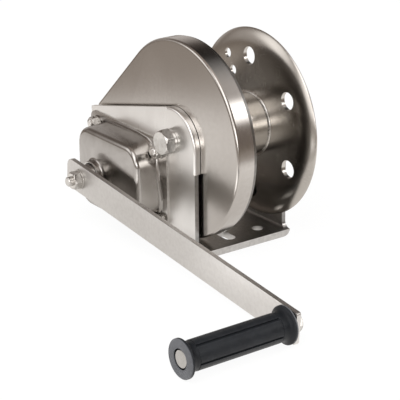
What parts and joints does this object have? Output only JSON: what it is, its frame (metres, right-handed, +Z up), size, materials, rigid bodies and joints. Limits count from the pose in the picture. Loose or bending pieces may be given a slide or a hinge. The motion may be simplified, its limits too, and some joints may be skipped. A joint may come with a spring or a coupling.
{
  "type": "hand winch",
  "caption": "Geared hand winch of stainless sheet: U-shaped frame, flanged drum, covered spur gears, covered friction brake and a flat-bar crank with a rubber grip.",
  "frame": {"origin": "centre of the base's underside, on the mounting surface", "axes": "+Z up from the mounting surface, X along the drum axis with the crank on the -X side, Y along the base with the drum at -Y and the crank shaft at +Y"},
  "size_m": [0.2945, 0.4152, 0.214],
  "materials": {
    "frame": "satin stainless sheet",
    "cover_sheet": "polished stainless sheet, drawn",
    "drum_steel": "polished stainless",
    "gear_steel": "machined, lightly greased",
    "machined_steel": "turned",
    "fasteners": "bright stainless",
    "crank_bar": "satin stainless flat bar",
    "bronze": "sintered bronze",
    "friction_lining": "moulded lining",
    "grip_rubber": "moulded rubber"
  },
  "bodies": {
    "housing": {"frame": "frame", "gear_cover": "cover_sheet", "brake_cover": "cover_sheet", "cover_studs": "fasteners", "cover_spacers": "fasteners", "cover_washers": "fasteners", "cover_nuts": "fasteners", "axle_bolt": "fasteners", "axle_washers": "fasteners", "axle_nut": "fasteners", "axle_sleeve": "machined_steel", "drum_spacers": "machined_steel", "shaft_bush_near": "bronze", "shaft_bush_far": "bronze", "thrust_washer": "bronze", "pawl_pin": "machined_steel", "pawl_pin_ring": "machined_steel", "pawl_spring": "machined_steel"},
    "drum": {"drum_barrel": "drum_steel", "drum_flange_inner": "drum_steel", "drum_flange_outer": "drum_steel", "drum_gear": "gear_steel", "gear_rivets": "machined_steel", "drum_bushes": "bronze"},
    "crank": {"crank_shaft": "machined_steel", "pinion": "gear_steel", "pinion_key": "gear_steel", "pinion_spacer": "machined_steel", "shaft_rings": "machined_steel", "brake_flange": "machined_steel", "friction_discs": "friction_lining", "crank_hub": "machined_steel", "crank_arm": "crank_bar", "crank_washer": "fasteners", "crank_nut": "fasteners", "grip_pin": "fasteners", "grip_nut": "fasteners", "grip_washer": "fasteners"},
    "ratchet": {"ratchet_wheel": "gear_steel"},
    "pawl": {"pawl": "gear_steel"},
    "grip": {"hand_grip": "grip_rubber", "grip_sleeve": "machined_steel"}
  },
  "joints": [
    {"name": "drum_spin", "type": "hinge", "parent": "housing", "child": "drum", "pos_m": [0, -0.0515, 0.1125], "axis": [1, 0, 0], "continuous": true},
    {"name": "crank_spin", "type": "hinge", "parent": "housing", "child": "crank", "pos_m": [0, 0.04802, 0.05388], "axis": [1, 0, 0], "continuous": true},
    {"name": "grip_spin", "type": "hinge", "parent": "crank", "child": "grip", "pos_m": [-0.16, -0.29721, 0.01881], "axis": [1, 0, 0], "continuous": true},
    {"name": "ratchet_play", "type": "hinge", "parent": "housing", "child": "ratchet", "pos_m": [-0.0685, 0.04802, 0.05388], "axis": [1, 0, 0], "range_deg": [0, 2]},
    {"name": "pawl_lift", "type": "hinge", "parent": "housing", "child": "pawl", "pos_m": [-0.0685, 0.01288, 0.08036], "axis": [-1, 0, 0], "range_deg": [0, 16], "stiffness_Nm_per_rad": 0.05, "springref_deg": -17.19}
  ],
  "couplings": [
    {"joint": "crank_spin", "follows": "drum_spin", "ratio": -4.1333}
  ]
}
